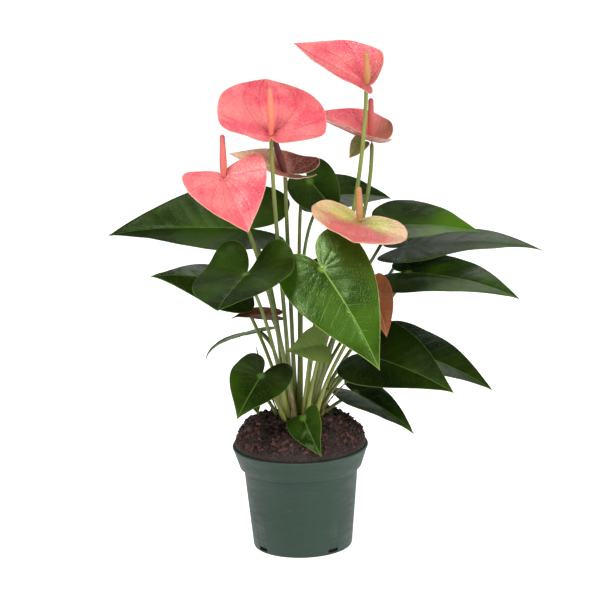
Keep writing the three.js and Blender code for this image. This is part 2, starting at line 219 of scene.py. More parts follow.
bladeGrid = {"spokes": 120, "rings": 40, "rimRing": 0.992, "ribSamples": 60}
bladeBody = {
    "half": 0.27, "rib": 0.75, "ribTaper": 0.8, "ribWidth": 0.9, "sideRib": 0.3,
    "valley": 0.45, "valleyWidth": 1.6,
    "quilt": 0.22, "quiltLevel": 0.6, "quiltRim": (1, 9), "quiltHeart": (2, 12),
    "lump": 1.1, "lumpScale": 3.4, "lumpReach": (0, 25), "dent": 0.35, "dentScale": 9, "dentReach": (5, 30),
}

leafForm = {
    "width": 0.78, "lobe": 0.3, "notch": 0.05, "widest": 0.03, "spread": 0.56, "point": 0.3,
    "fold": 14, "curl": -10, "bend": -14, "tipBend": -14, "lobeBend": -6,
    "wave": 0.01, "ripples": 9, "sweep": 0,
}
spatheForm = dict(
    leafForm, width=1.05, widest=0.06, spread=0.6, point=0.42,
    fold=12, curl=0, bend=4, tipBend=0, lobeBend=10,
)


def outlineAt(form, around):  # around: 0 at the notch, 0.5 at the tip, 1 back at the notch
    share = 2 * around if around <= 0.5 else 2 * (1 - around)
    half = form["width"] / 2
    lobe, notch, widest = form["lobe"], form["notch"], form["widest"]
    lobeY = form["spread"] * half
    if share < 0.2:
        t = share / 0.2
        xs = (-notch, -notch - 0.45 * (lobe - notch), -lobe, -lobe)
        ys = (0, 0.06 * half, 0.3 * lobeY, lobeY)
    elif share < 0.5:
        t = (share - 0.2) / 0.3
        xs = (-lobe, -lobe, widest - 0.6 * (widest + lobe), widest)
        ys = (lobeY, lobeY + 0.55 * (half - lobeY), half, half)
    else:
        t = (share - 0.5) / 0.5
        xs = (widest, widest + 0.4 * (1 - widest), 0.72, 1)
        ys = (half, half, form["point"] * half, 0)
    side = 1 if around <= 0.5 else -1
    return bezier(xs, t), bezier(ys, t) * side


def midrib(form, forward):  # the bent midrib as a table of (x, z, pitch), one step per sample
    count = bladeGrid["ribSamples"]
    reach = 1 if forward else form["lobe"]
    x = z = 0
    table = [(0, 0, 0)]
    for step in range(count):
        middle = (step + 0.5) / count
        pitches = []
        for t in (middle, (step + 1) / count):
            bend = form["bend"] * t + form["tipBend"] * t ** 3 if forward else form["lobeBend"] * t
            pitches.append(math.radians(bend))
        x += math.cos(pitches[0]) * reach / count
        z += math.sin(pitches[0]) * reach / count
        table.append((x, z, pitches[1]))
    return table


def bladePlacer(piece, form):
    ribs = {True: midrib(form, True), False: midrib(form, False)}
    count = bladeGrid["ribSamples"]
    half = form["width"] / 2
    fold = math.radians(form["fold"])
    curl = math.radians(form["curl"]) or 0.001

    def shaped(x, y):
        forward = x >= 0
        reach = 1 if forward else form["lobe"]
        at = min(abs(x) / reach, 0.9999) * count
        low = int(at)
        table = ribs[forward]
        ribX, ribZ, pitch = (mixed(a, b, at - low) for a, b in zip(table[low], table[low + 1]))
        direction = 1 if forward else -1
        pitch *= direction
        side = abs(y) / half
        across = (half / curl) * (math.sin(fold + curl * side) - math.sin(fold))
        phase = form["ripples"] * (x + form["lobe"]) + (0 if y > 0 else 2)
        ripple = form["wave"] * side ** 2 * math.sin(phase)
        rise = (half / curl) * (math.cos(fold) - math.cos(fold + curl * side)) + ripple
        sweep = form["sweep"] * x ** 2 if forward else 0
        return Vector((
            direction * ribX - math.sin(pitch) * rise,
            math.copysign(across, y) + sweep,
            ribZ + math.cos(pitch) * rise,
        ))

    at, tip, face = fromRim(piece["at"]), fromRim(piece["tip"]), Vector(piece["face"])
    along = tip - at
    length = along.length
    along.normalize()
    face = (face - along * face.dot(along)).normalized()
    axes = Matrix((along, face.cross(along), face)).transposed()
    flatTip = shaped(1, 0)
    level = flatTip.rotation_difference(Vector((1, 0, 0))).to_matrix()
    turn = axes @ level * (length / flatTip.length)

    def place(x, y):
        return at + turn @ shaped(x, y)

    def normalAt(x, y):
        step = 0.004
        y = y if abs(y) > step else math.copysign(step, y)
        x = x if abs(x) > step else math.copysign(step, x)
        here = place(x, y)
        return (place(x + step, y) - here).cross(place(x, y + step) - here).normalized()

    return place, normalAt, axes, length


def leafVeins(x, y, laterals, basal=4):
    side = abs(y)
    start = x - 0.55 * side - 0.3 * side * side
    if start > 0:
        return laterals * start + (0.35 * min(6 * start, 1) if y < 0 else 0)
    turned = math.atan2(side, x - 0.3 * side * side) - math.atan2(1, 0.55)
    return -basal * turned / (math.pi - math.atan2(1, 0.55))


def spatheVeins(x, y, count):
    narrowed = abs(y) / max(1 - x, 0.03) ** 0.8 if x > 0 else abs(y)
    return count * math.atan2(narrowed, x) / math.pi


def bladeRelief(x, y, t, gap, phase, length, seed, quilt):  # lift, valley and rib in mm
    body = bladeBody
    between = abs((phase + 0.5) % 1 - 0.5) * 2
    away = math.hypot(x, y) * length
    fade = smooth(gap, *body["quiltRim"]) * smooth(away, *body["quiltHeart"])
    lift = (1 - (1 - between) ** 2 - body["quiltLevel"]) * fade * body["quilt"] * quilt
    broad, narrow = body["lumpScale"], body["dentScale"]
    lumps = noise.noise(Vector((broad * x, broad * y, seed))) * smooth(away, *body["lumpReach"])
    dents = noise.noise(Vector((narrow * x, narrow * y, seed + 5))) * smooth(away, *body["dentReach"])
    lift += body["lump"] * (lumps + body["dent"] * dents)
    valley = body["valley"] * bump(y * length, body["valleyWidth"]) * smooth(x * length, 0, 4)
    ridge = body["rib"] * (1 - body["ribTaper"] * max(x, 0)) * bump(y * length, body["ribWidth"])
    ridge *= smooth(x, -0.03, 0.01)
    ridge += body["sideRib"] * (1 - between) ** 3 * fade * smooth(1 - t, 0, 0.5)
    return lift, valley, ridge


def rimReach(form, around):  # how far the rim stands off, square to its own run
    x, y = outlineAt(form, around)
    ahead = outlineAt(form, around + 0.5 / bladeGrid["spokes"])
    behind = outlineAt(form, (around - 0.5 / bladeGrid["spokes"]) % 1)
    run = Vector((ahead[0] - behind[0], ahead[1] - behind[1]))
    return abs(x * run.y - y * run.x) / max(run.length, 1e-6)


# A grid is wrapped over the blade: its first row is the middle of the upper side, its middle row
# the rim, and its last row the middle of the underside. Returns the blade's axes.
def bladePiece(piece, form, veins, material, slotName, name, quilt=1.0, stands=True):
    place, normalAt, axes, length = bladePlacer(piece, form)
    spokes, rings = bladeGrid["spokes"], bladeGrid["rings"]
    seed = sum(piece["at"])
    bm = bmesh.new()
    bmesh.ops.create_grid(bm, x_segments=spokes, y_segments=2 * rings, size=0.5)
    flat = bm.verts.layers.float_vector.new("flat")
    edge = bm.verts.layers.float_vector.new("edge")
    known = {}
    for vert in bm.verts:
        around = round((vert.co.x + 0.5) * spokes) % spokes
        step = round((vert.co.y + 0.5) * 2 * rings)
        ring = min(step, 2 * rings - step)
        side = 1 if step <= rings else -1
        if (around, ring) not in known:
            t = 1 if ring == rings else bladeGrid["rimRing"] * ring / (rings - 1)
            x, y = (part * t for part in outlineAt(form, around / spokes))
            gap = (1 - t) * rimReach(form, around / spokes) * length
            phase = veins(x, y)
            relief = bladeRelief(x, y, t, gap, phase, length, seed, quilt)
            where = (x * length, y * length, phase)
            known[around, ring] = (place(x, y), normalAt(x, y), relief, where, gap, t)
        point, normal, (lift, valley, ridge), where, gap, t = known[around, ring]
        body = 0 if ring == rings else bladeBody["half"]
        lift += body - valley * t if side > 0 else -body - ridge
        vert.co = (point + normal * lift) * mm
        vert[flat] = where
        vert[edge] = (gap, side, t)
    finishMesh(bm, name, material, slotName, *([name] if stands else []))
    return axes


# stems: petioles and flower stalks

crown = {"rings": (0, 7.2, 13.6, 19.6), "top": 128, "dip": 3, "sink": 8}
stemGrid = {"around": 20, "along": 60}
stemShape = {
    "sunkShare": 0.04, "wander": 1.6, "footEnd": (0.03, 0.3), "neckStart": (0.5, 0.95),
    "kneeFromEnd": 7, "kneeWidth": 5.5, "close": 1.2, "groove": 0.06, "grooveWidth": 0.35,
}
petioleSize = {"foot": 2.9, "middle": 1.75, "neck": 1.6, "knee": 2.15}
stalkSize = {"foot": 2.9, "middle": 2.0, "neck": 1.9, "knee": 1.95}


def stemPath(piece, axes):
    degrees, ring = piece["base"]
    foot = onCircle(crown["rings"][ring], math.radians(degrees), crown["top"] - crown["dip"])
    top = fromRim(piece["at"])
    span = top - foot
    lean, climb, neck = piece.get("lean", 0.25), piece.get("climb", 0.45), piece.get("neck", 0.28)
    if "rise" in piece:
        arrive = Vector(piece["rise"]).normalized()
    elif "spadix" in piece:
        arrive = Vector((0, 0, 1))
    else:
        arrive = (axes @ Vector((0.5, 0, 1))).normalized()
    end = top - axes.col[2] * 0.25
    start = foot + Vector((span.x * lean, span.y * lean, span.z * climb))
    return foot, start, end - arrive * span.length * neck, end


# A grid rolled into a tube. radiusAt takes the share of the run, the run, its whole and the angle.
def tube(path, radiusAt, around, along, seed):
    bm = bmesh.new()
    bmesh.ops.create_grid(bm, x_segments=around, y_segments=along, size=0.5)
    layer = bm.verts.layers.float_vector.new("stem")
    points = [path(i / along) for i in range(along + 1)]
    lengths = [0]
    for a, b in zip(points, points[1:]):
        lengths.append(lengths[-1] + (b - a).length)
    frames = []
    side = Vector((1, 0.2, 0)).normalized()
    for i, point in enumerate(points):
        run = (points[min(i + 1, along)] - points[max(i - 1, 0)]).normalized()
        side = (side - run * side.dot(run)).normalized()
        frames.append((point, side.copy(), run.cross(side)))
    for vert in bm.verts:
        ring = round((vert.co.y + 0.5) * along)
        angle = 2 * math.pi * (round((vert.co.x + 0.5) * around) % around) / around
        point, right, up = frames[ring]
        radius = radiusAt(ring / along, lengths[ring], lengths[-1], angle)
        vert.co = (point + radius * (right * math.cos(angle) + up * math.sin(angle))) * mm
        vert[layer] = (ring / along, lengths[ring], seed)
    return bm


def stemPiece(piece, size, axes, material, slotName, node):
    shape = stemShape
    foot, start, nearEnd, end = stemPath(piece, axes)
    sunk = foot - Vector((0, 0, crown["sink"]))
    wander = Vector((noise.noise(foot * 0.31), noise.noise(foot * 0.37 + Vector((9, 0, 0))), 0))
    sunkShare = shape["sunkShare"]

    def path(t):
        along = max((t - sunkShare) / (1 - sunkShare), 0)
        point = bezierPoint(foot, start, nearEnd, end, along)
        if t < sunkShare:
            point = sunk.lerp(foot, t / sunkShare)
        return point + wander * shape["wander"] * math.sin(math.pi * along) * math.sin(3 * along)

    def radiusAt(t, run, whole, angle):
        if t <= 0 or t >= 1:
            return 0
        left = whole - run
        radius = mixed(size["foot"], size["middle"], smooth(t, *shape["footEnd"]))
        radius = mixed(radius, size["neck"], smooth(t, *shape["neckStart"]))
        radius += (size["knee"] - size["neck"]) * bump(left - shape["kneeFromEnd"], shape["kneeWidth"])
        groove = shape["groove"] * bump(math.sin(angle / 2 - 0.8), shape["grooveWidth"])
        return radius * rounded(min(1, left / shape["close"])) * (1 - groove)

    bm = tube(path, radiusAt, stemGrid["around"], stemGrid["along"], random.random())
    finishMesh(bm, node, material, slotName, node)


# spadix: the flower spike, closely set with small raised flowers

spadixShape = {
    "foot": 2.3, "belly": 3.35, "neck": 2.45, "around": 72, "along": 130, "knob": 0.34, "knobLevel": 0.55,
    "turn": 1.15, "bow": 1.5, "bellyEnd": (0, 0.25), "neckStart": (0.3, 0.95),
}


def spadixPiece(flower, material, node):
    at = fromRim(flower["at"])
    lean = Vector(flower["spadix"]).normalized()
    length = flower["spadixLength"]
    shape = spadixShape
    bow = Vector((noise.noise(at * 0.7), noise.noise(at * 0.9), 0)) * shape["bow"]

    def path(t):
        return at + lean * length * t + bow * math.sin(math.pi * t)

    def radiusAt(t, run, whole, angle):
        if t <= 0 or t >= 1:
            return 0
        radius = mixed(shape["foot"], shape["belly"], smooth(t, *shape["bellyEnd"]))
        radius = mixed(radius, shape["neck"], smooth(t, *shape["neckStart"]))
        closing = min(1, (whole - run) / (1.3 * shape["neck"]), 0.4 + run / 2)
        turns = run * shape["turn"]
        knob = abs(math.sin(4 * angle + turns) * math.sin(6.5 * angle - turns * 0.9)) ** 0.6
        knob = shape["knob"] * (knob - shape["knobLevel"]) * closing * smooth(run, 0.5, 3)
        return radius * rounded(closing) + knob

    bm = tube(path, radiusAt, shape["around"], shape["along"], random.random())
    finishMesh(bm, node, material, flower["spadixSlot"], node)


# leaf material: dark patches, side veins, a pale midrib, a fine net and a thin pale rim

def leafMaterial(name, look):
    material, tree, shader = newMaterial(name)
    x, y, phase = attributeParts(tree, "flat")
    gap, side = attributeParts(tree, "edge")[:2]
    sheet = onSheet(tree, x, y, side, 30)
    big = clouds(tree, objectPlace(tree), 22, 3)
    fine = clouds(tree, sheet, 0.55, 4)
    net = fading(tree, cells(tree, sheet, 0.42), 0.0, 0.09)
    vein = times(tree, fading(tree, fromVein(tree, phase), 0.015, look["veinWidth"]), ramp(tree, gap, 1.5, 9))
    ribHalf = ramp(tree, x, 0, look["length"], look["ribWidth"], 0.25)
    rib = fading(tree, minus(tree, calc(tree, "ABSOLUTE", y), ribHalf), -0.25, 0.45)
    rib = times(tree, rib, ramp(tree, x, -2, 1.5))
    level = put(tree, "VectorMath", {0: sheet, 1: (1, 1, 0)}, operation="MULTIPLY").outputs[0]
    knot = fading(tree, put(tree, "VectorMath", {0: level}, operation="LENGTH").outputs["Value"], 1.5, 5.5)
    rim = fading(tree, plus(tree, gap, times(tree, fine, 0.5)), 0.55, 1.15)
    colour = blended(tree, ramp(tree, big, 0.36, 0.66), look["dark"], look["light"])
    colour = layered(tree, colour, (ramp(tree, fine, 0.5, 0.8), 0.35, look["bright"]))
    if "tipColour" in look:
        start, end, tipColour = look["tipColour"]
        colour = blended(tree, ramp(tree, plus(tree, x, times(tree, big, 14)), start, end), colour, tipColour)
    colour = layered(
        tree, colour, (net, 0.16, look["vein"]), (vein, look["veinStrength"], look["vein"]),
        (rib, look["ribStrength"], look["rib"]), (knot, 0.85, look["rib"]),
        (rim, look["rimStrength"], look["rim"]),
    )
    marks = calc(tree, "MAXIMUM", calc(tree, "MAXIMUM", vein, rib), net)
    below = fading(tree, side, -0.2, 0.2)
    colour = blended(tree, below, colour, layered(tree, look["under"], (marks, 0.4, look["rib"])))
    rough = ramp(tree, big, 0.3, 0.7, look["rough"], look["rough"] + 0.12)
    wire(tree, shader, Base_Color=colour, Roughness=plus(tree, rough, times(tree, below, 0.22)))
    shader.inputs["Specular IOR Level"].default_value = look["gloss"]
    shader.inputs["Specular Tint"].default_value = (*look["tint"], 1)
    height = plus(tree, times(tree, vein, -0.5), times(tree, net, -0.25))
    height = plus(tree, height, times(tree, plus(tree, fine, rib), 0.5))
    bumped(tree, shader, height, 0.00035, look["bump"])
    return material


leafLook = {
    "dark": (0.007, 0.015, 0.001), "light": (0.021, 0.050, 0.002), "bright": (0.042, 0.092, 0.003),
    "vein": (0.035, 0.095, 0.010), "veinWidth": 0.045, "veinStrength": 0.16,
    "rib": (0.10, 0.20, 0.03), "ribWidth": 0.6, "ribStrength": 0.6,
    "rim": (0.11, 0.19, 0.03), "rimStrength": 0.55,
    "under": (0.04, 0.10, 0.025), "rough": 0.25, "gloss": 0.2, "tint": (0.55, 0.8, 0.35), "bump": 0.55,
}
brightLeaf = {
    "dark": (0.014, 0.040, 0.001), "light": (0.036, 0.092, 0.002), "bright": (0.062, 0.135, 0.003),
    "rough": 0.16, "gloss": 0.6,
    "rib": (0.19, 0.32, 0.05), "ribStrength": 0.85, "rimStrength": 0.8, "rim": (0.25, 0.33, 0.08),
}
darkLeaf = {"dark": (0.005, 0.010, 0.001), "light": (0.013, 0.027, 0.0015), "bright": (0.024, 0.046, 0.002)}
youngLeaf = {
    "dark": (0.085, 0.13, 0.028), "light": (0.13, 0.185, 0.04), "bright": (0.18, 0.235, 0.06),
    "vein": (0.25, 0.31, 0.10), "under": (0.16, 0.22, 0.07), "rough": 0.4,
}
bronzeLeaf = {
    "dark": (0.13, 0.032, 0.013), "light": (0.30, 0.085, 0.035), "bright": (0.36, 0.13, 0.06),
    "vein": (0.40, 0.16, 0.08), "rim": (0.35, 0.11, 0.05), "rib": (0.36, 0.2, 0.09),
    "under": (0.34, 0.12, 0.07), "rough": 0.36,
}

leaves = [
    {"name": "leaf_far_left", "at": (-47, 42, 203), "tip": (-179, 62, 195), "face": (0.05, -0.62, 1),
     "base": (122, 2),
     "lean": 0.3, "form": {"width": 0.72, "fold": 20, "curl": 0, "bend": -4, "tipBend": -18}},
    {"name": "leaf_left_lower", "at": (-58, 16, 157), "tip": (-138, 4, 168), "face": (0.1, -0.5, 1),
     "base": (155, 2), "form": {"width": 0.85, "lobe": 0.26, "fold": -12}},
    {"name": "leaf_left_round", "at": (-46, -54, 182), "tip": (-72, -118, 165), "face": (-0.3, -0.5, 0.9),
     "base": (220, 2),
     "form": {"width": 1.3, "lobe": 0.58, "widest": 0.04, "spread": 0.52, "point": 0.8, "fold": 6,
              "lobeBend": 66, "bend": 0}},
    {"name": "leaf_front", "at": (25, -52, 185), "tip": (75.5, -86, 95), "face": (0, -0.85, 0.45),
     "base": (-73, 2), "rise": (0, -0.5, 1), "neck": 0.14, "look": brightLeaf,
     "form": {"width": 0.78, "lobe": 0.27, "fold": 8, "curl": -14, "sweep": -0.08}},
    {"name": "leaf_right_high", "at": (94, 52, 199), "tip": (178, 40, 193), "face": (0.05, -0.3, 1),
     "base": (57, 2), "form": {"width": 0.94, "lobe": 0.27, "fold": 14, "sweep": 0.05},
     "look": {"tipColour": (25, 70, (0.055, 0.135, 0.004))}},
    {"name": "leaf_right_long", "at": (108, 62, 176), "tip": (238, 44, 173), "face": (0, -0.1, 1),
     "base": (25, 2), "lean": 0.1, "form": {"width": 0.72, "lobe": 0.2, "spread": 0.5, "fold": 6}},
    {"name": "leaf_right_wide", "at": (107, 15, 162), "tip": (209, -44, 148), "face": (0, -0.25, 1),
     "base": (-8, 2), "form": {"width": 0.72, "lobe": 0.22, "spread": 0.48, "fold": 8, "curl": -14}},
    {"name": "leaf_right_low", "at": (66, -14, 90), "tip": (146, -48, 60), "face": (0.2, -0.7, 0.8),
     "base": (-16, 3), "lean": 0.12, "form": {"width": 0.92, "lobe": 0.18}, "look": darkLeaf},
    {"name": "leaf_right_low_back", "at": (94, 34, 83), "tip": (186, 6, 45), "face": (0.2, -0.4, 0.9),
     "base": (28, 3), "lean": 0.2, "climb": 0.95, "form": {"width": 0.7, "lobe": 0.26}, "look": darkLeaf},
    {"name": "leaf_right_small", "at": (54, 14, 45), "tip": (109, -12, 10), "face": (0.3, -0.5, 0.9),
     "base": (5, 3), "form": {"width": 0.66, "lobe": 0.26}, "look": darkLeaf},
    {"name": "leaf_left_low", "at": (-35, -42, 80), "tip": (-58, -84, 51), "face": (-0.1, -0.9, 0.7),
     "base": (225, 3), "form": {"width": 1, "lobe": 0.5, "fold": 6}},
    {"name": "leaf_left_low_back", "at": (-43, 2, 57), "tip": (-39, -16, 34), "face": (-0.3, -0.7, 0.5),
     "base": (180, 3), "form": {"width": 0.8}, "look": darkLeaf},
    {"name": "leaf_left_thin", "at": (-36, 40, 101), "tip": (-90, 28, 76), "face": (-0.1, 0.3, 1),
     "base": (138, 3), "form": {"width": 0.55, "lobe": 0.25, "tipBend": -50}},
    {"name": "leaf_young_olive", "at": (22, -42, 109), "tip": (-10, -54, 107), "face": (0, -1, 0.5),
     "base": (-70, 3),
     "neck": 0.15, "form": {"width": 1.1, "lobe": 0.2, "fold": 20}, "look": youngLeaf, "slot": "leaf_young"},
    {"name": "leaf_over_soil", "at": (4, -42.25, 38), "tip": (20, -74.1, 9), "face": (-0.5, -0.7, 0.6),
     "base": (-98, 3), "neck": 0.15, "form": {"width": 0.8, "lobe": 0.14}},
    {"name": "leaf_top_back", "at": (16, 52, 246), "tip": (44, 66, 206), "face": (0, -0.9, 0.3),
     "base": (0, 0), "neck": 0.12, "form": {"width": 0.95, "lobe": 0.3}},
    {"name": "leaf_back_right", "at": (30, 112, 216), "tip": (96, 122, 210), "face": (0, -0.4, 1),
     "base": (90, 2), "form": {"width": 0.98, "lobe": 0.36}},
    {"name": "leaf_behind_front", "at": (38, -14, 178), "tip": (71, -15, 93), "face": (0.1, -0.85, 0.3),
     "base": (-58, 1), "neck": 0.14, "look": darkLeaf,
     "form": {"width": 0.7, "lobe": 0.16, "fold": 0, "bend": 0, "tipBend": -6}},
    {"name": "leaf_bronze_right", "at": (72, -42, 160), "tip": (84, -48, 116), "face": (0.3, -0.9, 0.3),
     "base": (-46, 3),
     "rise": (0, -0.5, 1), "neck": 0.14, "lean": 0.22, "form": {"width": 0.75}, "look": bronzeLeaf,
     "slot": "leaf_bronze"},
    {"name": "leaf_bronze_left", "at": (-24, 0, 128), "tip": (-62, -6, 128), "face": (0, -0.4, 1),
     "base": (187, 2), "form": {"width": 0.55}, "look": bronzeLeaf, "slot": "leaf_bronze"},
]


# stem material

def stemMaterial(name, look):
    material, tree, shader = newMaterial(name)
    parts = attributeParts(tree, "stem")
    along, seed = parts[0], parts[2]
    place = objectPlace(tree)
    streaks = clouds(tree, scaled(tree, place, (900, 900, 25)), 1, 3)
    patches = clouds(tree, scaled(tree, place, (160, 160, 30)), 1, 3)
    shifted = plus(tree, along, times(tree, minus(tree, patches, 0.5), 0.25))
    colour = blended(tree, ramp(tree, shifted, 0.0, 0.4), look["foot"], look["middle"])
    colour = layered(
        tree, colour,
        (ramp(tree, shifted, 0.45, 0.95), 1, look["top"]),
        (ramp(tree, seed, 0.55, 1.0), 0.55, look["other"]),
        (ramp(tree, streaks, 0.45, 0.75), 0.4, look["streak"]),
        (ramp(tree, patches, 0.6, 0.75), 0.5, look["blush"]),
    )
    wire(tree, shader, Base_Color=colour, Roughness=ramp(tree, patches, 0.3, 0.7, 0.38, 0.52))
    bumped(tree, shader, streaks, 0.0002, 0.5)
    return material


stemLooks = {
    "petiole": {
        "foot": (0.42, 0.43, 0.09), "middle": (0.15, 0.20, 0.022), "top": (0.065, 0.115, 0.012),
        "other": (0.09, 0.11, 0.022), "streak": (0.26, 0.31, 0.08), "blush": (0.17, 0.09, 0.03),
    },
    "flower_stalk": {
        "foot": (0.34, 0.36, 0.10), "middle": (0.10, 0.15, 0.022), "top": (0.22, 0.26, 0.045),
        "other": (0.075, 0.10, 0.018), "streak": (0.22, 0.27, 0.06), "blush": (0.15, 0.09, 0.03),
    },
}


def spadixMaterial(name, look):
    material, tree, shader = newMaterial(name)
    along = attributeParts(tree, "stem")[0]
    place = objectPlace(tree)
    patches = clouds(tree, place, 120, 3)
    dots = cells(tree, place, 900, "F1")
    shifted = plus(tree, along, times(tree, minus(tree, patches, 0.5), 0.3))
    colour = blended(tree, ramp(tree, shifted, 0.05, 0.55), look["low"], look["middle"])
    colour = blended(tree, ramp(tree, shifted, 0.55, 0.95), colour, look["high"])
    colour = layered(tree, colour, (ramp(tree, dots, 0.15, 0.6), 0.55, look["speck"]))
    wire(tree, shader, Base_Color=colour, Roughness=ramp(tree, dots, 0.1, 0.7, 0.45, 0.7))
    bumped(tree, shader, dots, 0.0004, 0.6)
    return material


spadixLooks = {
    "spadix_tan": {
        "low": (0.40, 0.17, 0.05), "middle": (0.50, 0.20, 0.07), "high": (0.42, 0.16, 0.06),
        "speck": (0.60, 0.33, 0.14),
    },
    "spadix_red": {
        "low": (0.55, 0.09, 0.07), "middle": (0.56, 0.075, 0.08), "high": (0.42, 0.05, 0.06),
        "speck": (0.68, 0.22, 0.16),
    },
    "spadix_maroon": {
        "low": (0.16, 0.035, 0.03), "middle": (0.10, 0.018, 0.022), "high": (0.08, 0.016, 0.02),
        "speck": (0.20, 0.06, 0.05),
    },
}


# spathe material: waxy, with arching veins and a fine net between them

def spatheColour(tree, look, start, measures, wander, strength=1.0):  # the zones laid over a colour
    colour = start
    for measure, low, high, tint, amount in look["zones"]:
        where = ramp(tree, plus(tree, measures[measure], wander), low, high, 0, amount)
        colour = layered(tree, colour, (where, strength, tint))
    return colour


def spatheMaterial(name, look, length):
    material, tree, shader = newMaterial(name)
    x, y, phase = attributeParts(tree, "flat")
    gap, side, share = attributeParts(tree, "edge")
    sheet = onSheet(tree, x, y, side, 20)
    big = clouds(tree, objectPlace(tree), 35, 3)
    fine = clouds(tree, sheet, 0.5, 4)
    drift = put(tree, "TexNoise", {"Vector": sheet, "Scale": 0.22}).outputs["Color"]
    warped = put(tree, "VectorMath", {0: sheet, 1: drift}, operation="ADD").outputs[0]
    vein = fading(tree, fromVein(tree, phase), 0.02, look["veinWidth"])
    vein = times(tree, vein, ramp(tree, gap, 0.5, 5, 0.2, 1))
    net = fading(tree, cells(tree, warped, 0.26), 0.0, 0.12)
    netFine = fading(tree, cells(tree, warped, 0.6), 0.0, 0.12)
    rim = plus(tree, gap, times(tree, fine, 0.8))
    rim = fading(tree, rim, look["rimWidth"], look["rimWidth"] + 1.0)
    wander = plus(tree, times(tree, minus(tree, fine, 0.5), 0.35), times(tree, minus(tree, big, 0.5), 0.5))
    measures = {"out": share, "ahead": times(tree, x, 1 / length), "left": times(tree, y, 1 / length)}
    base = blended(tree, ramp(tree, big, 0.35, 0.65), look["base"], look["light"])
    colour = layered(
        tree, spatheColour(tree, look, base, measures, wander),
        (net, look["net"], look["vein"]), (netFine, look["net"] * 0.6, look["vein"]),
        (vein, look["veinStrength"], look["vein"]), (rim, look["rimStrength"], look["rim"]),
    )
    under = spatheColour(tree, look, look["under"], measures, wander, 0.7)
    under = layered(tree, under, (calc(tree, "MAXIMUM", vein, net), 0.45, look["vein"]))
    colour = blended(tree, fading(tree, side, -0.2, 0.2), colour, under)
    rough = ramp(tree, big, 0.3, 0.7, look["rough"], look["rough"] + 0.12)
    wire(tree, shader, Base_Color=colour, Roughness=rough)
    shader.inputs["Specular IOR Level"].default_value = 0.5
    shader.inputs["Subsurface Weight"].default_value = 0.12
    shader.inputs["Subsurface Radius"].default_value = (0.003, 0.0012, 0.0008)
    shader.inputs["Subsurface Scale"].default_value = 1.0
    height = plus(tree, times(tree, vein, 0.8), times(tree, plus(tree, net, fine), 0.5))
    bumped(tree, shader, height, 0.0004, look["bump"])
    return material


pinkSpathe = {
    "base": (0.76, 0.105, 0.14), "light": (0.88, 0.24, 0.23), "vein": (0.50, 0.03, 0.06), "veinWidth": 0.07,
    "veinStrength": 0.30, "net": 0.36, "rim": (0.86, 0.48, 0.33), "rimWidth": 0.4, "rimStrength": 0.8,
    # a zone is a measure, where it starts, where it is full, its colour and its strength
    # painted shade: this zone darkens each pink spathe's middle round the heart, standing in for the shade of
    # a deep fold there
    "zones": [("out", 0.26, 0.0, (0.36, 0.02, 0.04), 0.65)],
    "under": (0.72, 0.20, 0.17), "rough": 0.25, "bump": 0.9,
}

